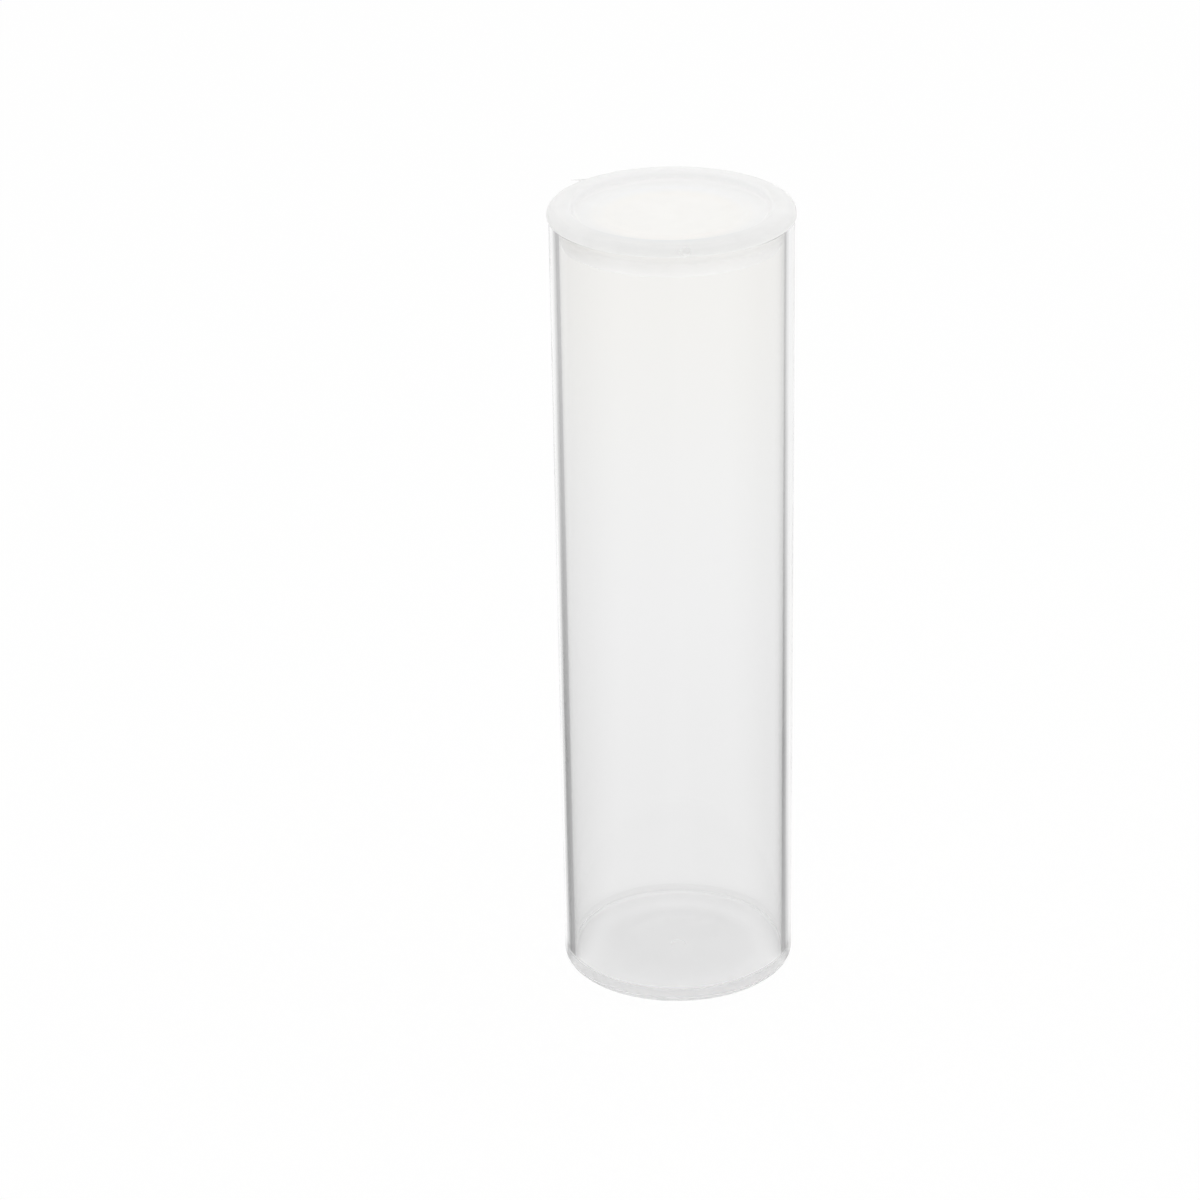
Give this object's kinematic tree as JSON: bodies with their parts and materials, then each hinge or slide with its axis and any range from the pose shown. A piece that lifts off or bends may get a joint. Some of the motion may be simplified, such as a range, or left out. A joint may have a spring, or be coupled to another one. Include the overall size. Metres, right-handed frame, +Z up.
{
  "type": "coin tube",
  "caption": "Slim round storage tube in clear moulded plastic, with a milky push-in lid whose flange rests on the rim and whose plug closes the mouth.",
  "frame": {"origin": "centre of the tube's footprint, on the surface that it stands on", "axes": "+Z up the tube's axis from the closed foot to the lid; -Y towards the viewer of the picture, where the lid's gate mark lies; +X to the viewer's right"},
  "size_m": [0.0258, 0.0258, 0.087],
  "materials": {
    "clear_polystyrene": "clear, colourless, injection-moulded against polished steel",
    "milky_polyethylene": "translucent natural white, soft satin, injection-moulded"
  },
  "bodies": {
    "tube_body": {"tube": "clear_polystyrene"},
    "lid_body": {"lid": "milky_polyethylene"}
  },
  "joints": [
    {"name": "lid_pull", "type": "slide", "parent": "tube_body", "child": "lid_body", "axis": [0, 0, 1], "range_m": [0, 0.04]}
  ]
}
